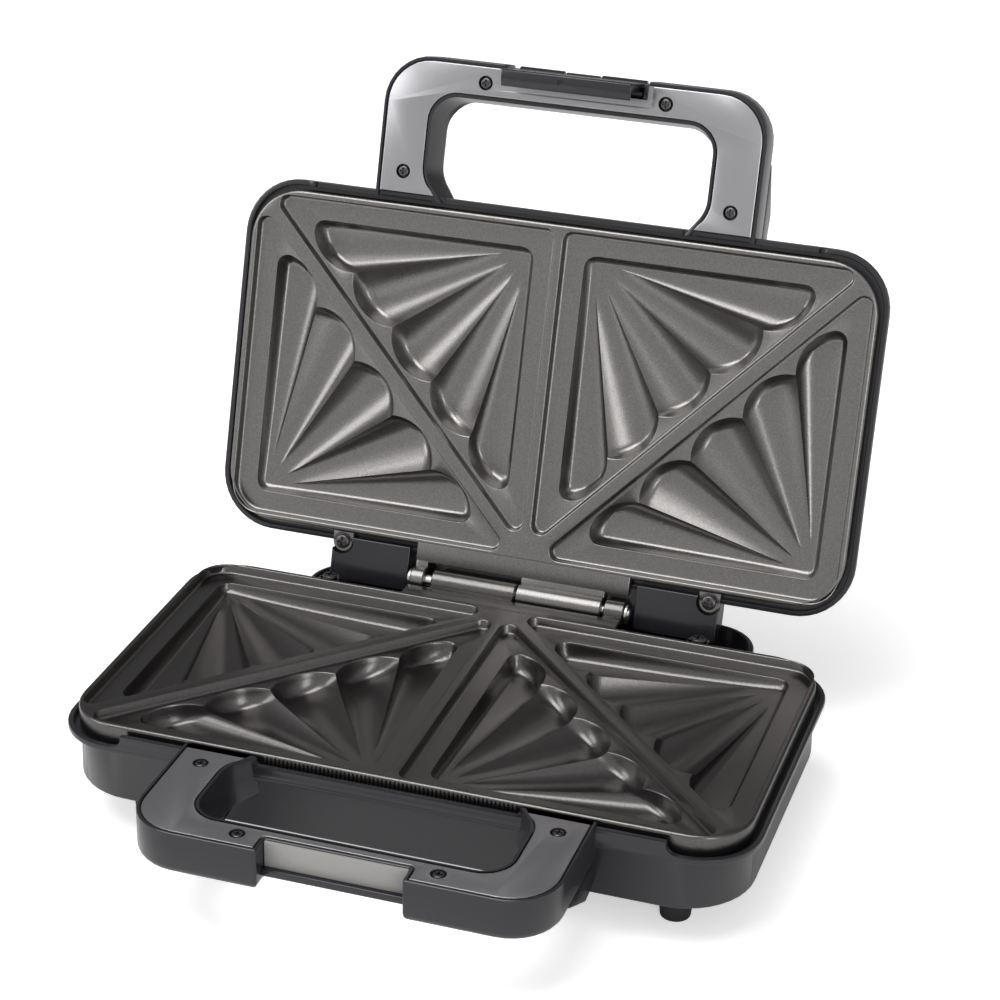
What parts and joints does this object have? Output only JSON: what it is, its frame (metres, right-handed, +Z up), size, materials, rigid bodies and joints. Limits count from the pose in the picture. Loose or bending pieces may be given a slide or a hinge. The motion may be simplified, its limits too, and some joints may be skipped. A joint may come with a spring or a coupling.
{
  "type": "sandwich toaster",
  "caption": "Electric sandwich toaster with a hinged lid, fluted triangle cooking plates, loop handles and a sprung latch that hooks the lid shut.",
  "frame": {"origin": "on the table under the middle of the whole toaster, with its lid open", "axes": "+X to the toaster's right, +Y from the handles to the hinge, +Z up"},
  "size_m": [0.2776, 0.3014, 0.2593],
  "materials": {
    "housing_plastic": "black moulded plastic, glossy with a faint grain",
    "cover_plastic": "black moulded plastic, matt",
    "foot_rubber": "matt black rubber",
    "nonstick_plate": "die-cast, charcoal non-stick coating with a fine sparkle",
    "element_steel": "heat-tinted steel tube",
    "tray_steel": "plain sheet steel",
    "base_cover_plastic": "dark grey satin plastic",
    "lid_cover_plastic": "grey satin plastic",
    "screw_steel": "zinc-plated steel",
    "striker_plastic": "light grey plastic",
    "pin_steel": "ground steel",
    "ceramic": "cream insulating plastic",
    "wire_sleeve": "glass-fibre sleeved wire",
    "lens_red": "clear red plastic",
    "lamp_glass": "neon lamp",
    "lever_plastic": "silver-grey plastic"
  },
  "bodies": {
    "base": {"base_housing": "housing_plastic", "bottom_cover": "cover_plastic", "feet": "foot_rubber", "lower_plate": "nonstick_plate", "lower_element": "element_steel", "lower_reflector": "tray_steel", "base_handle_cover": "base_cover_plastic", "base_handle_screws": "screw_steel", "latch_striker": "striker_plastic", "hinge_pin": "pin_steel", "hinge_pin_clips": "pin_steel", "lower_plate_screws": "screw_steel", "lower_reflector_screws": "screw_steel", "bottom_screws": "screw_steel", "thermostat": "tray_steel", "thermal_fuse": "ceramic", "terminal_block": "ceramic", "base_wiring": "wire_sleeve", "cord_gland": "cover_plastic"},
    "lid": {"lid_housing": "housing_plastic", "upper_plate": "nonstick_plate", "upper_element": "element_steel", "upper_reflector": "tray_steel", "upper_plate_screws": "screw_steel", "upper_reflector_screws": "screw_steel", "lid_handle_cover": "lid_cover_plastic", "lid_handle_screws": "screw_steel", "latch_pin": "pin_steel", "latch_spring": "pin_steel", "indicator_lenses": "lens_red", "indicator_lamps": "lamp_glass", "lid_wiring": "wire_sleeve"},
    "latch": {"latch_lever": "lever_plastic"}
  },
  "joints": [
    {"name": "lid_hinge", "type": "hinge", "parent": "base", "child": "lid", "pos_m": [0, 0.06771, 0.047], "axis": [1, 0, 0], "range_deg": [0, 106.6]},
    {"name": "latch_pivot", "type": "hinge", "parent": "lid", "child": "latch", "pos_m": [0, 0.14072, 0.2499], "axis": [-1, 0, 0], "range_deg": [0, 22], "stiffness_Nm_per_rad": 0.03}
  ]
}
